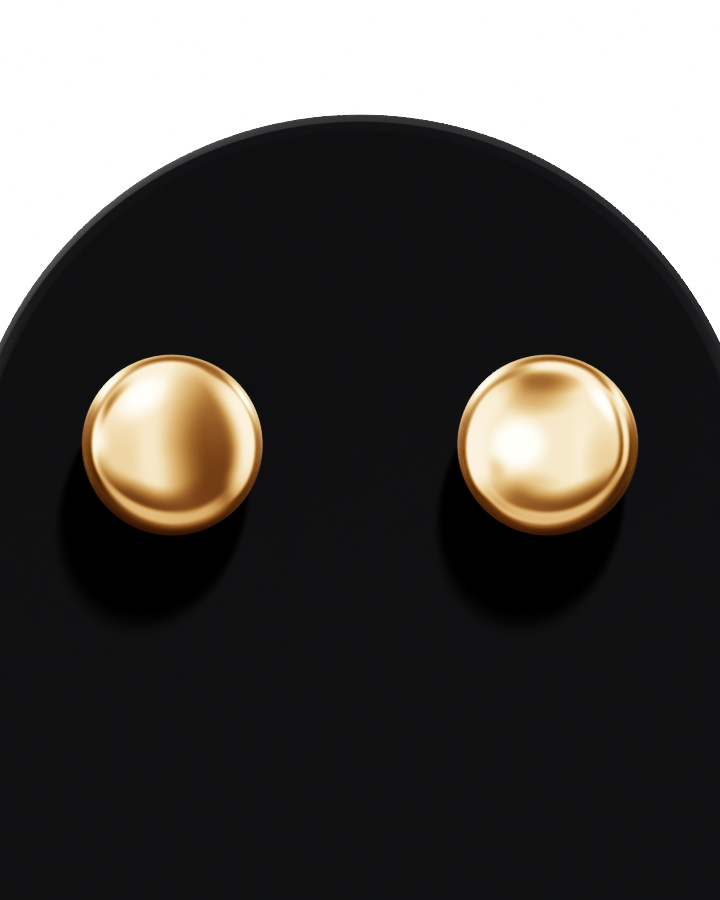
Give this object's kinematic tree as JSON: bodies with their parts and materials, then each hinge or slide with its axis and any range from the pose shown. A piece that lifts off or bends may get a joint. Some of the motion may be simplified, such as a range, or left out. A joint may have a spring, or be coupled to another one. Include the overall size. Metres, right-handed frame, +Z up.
{
  "type": "stud earrings on display stand",
  "caption": "Pair of polished round domed gold stud earrings with butterfly ear nuts, on a plain black arched display stand with a rear foot.",
  "frame": {"origin": "centre of the stand's underside, on the surface it stands on", "axes": "+Z up; the studs and the panel's front face -Y; +X to the viewer's right"},
  "size_m": [0.0448, 0.03, 0.0584],
  "materials": {
    "satin_black": "satin moulded black",
    "polished_gold": "mirror polished yellow gold",
    "ear_nut_gold": "tumbled yellow gold"
  },
  "bodies": {
    "root": {"display_stand": "satin_black", "left_stud": "polished_gold", "right_stud": "polished_gold", "left_ear_nut": "ear_nut_gold", "right_ear_nut": "ear_nut_gold"}
  },
  "joints": []
}
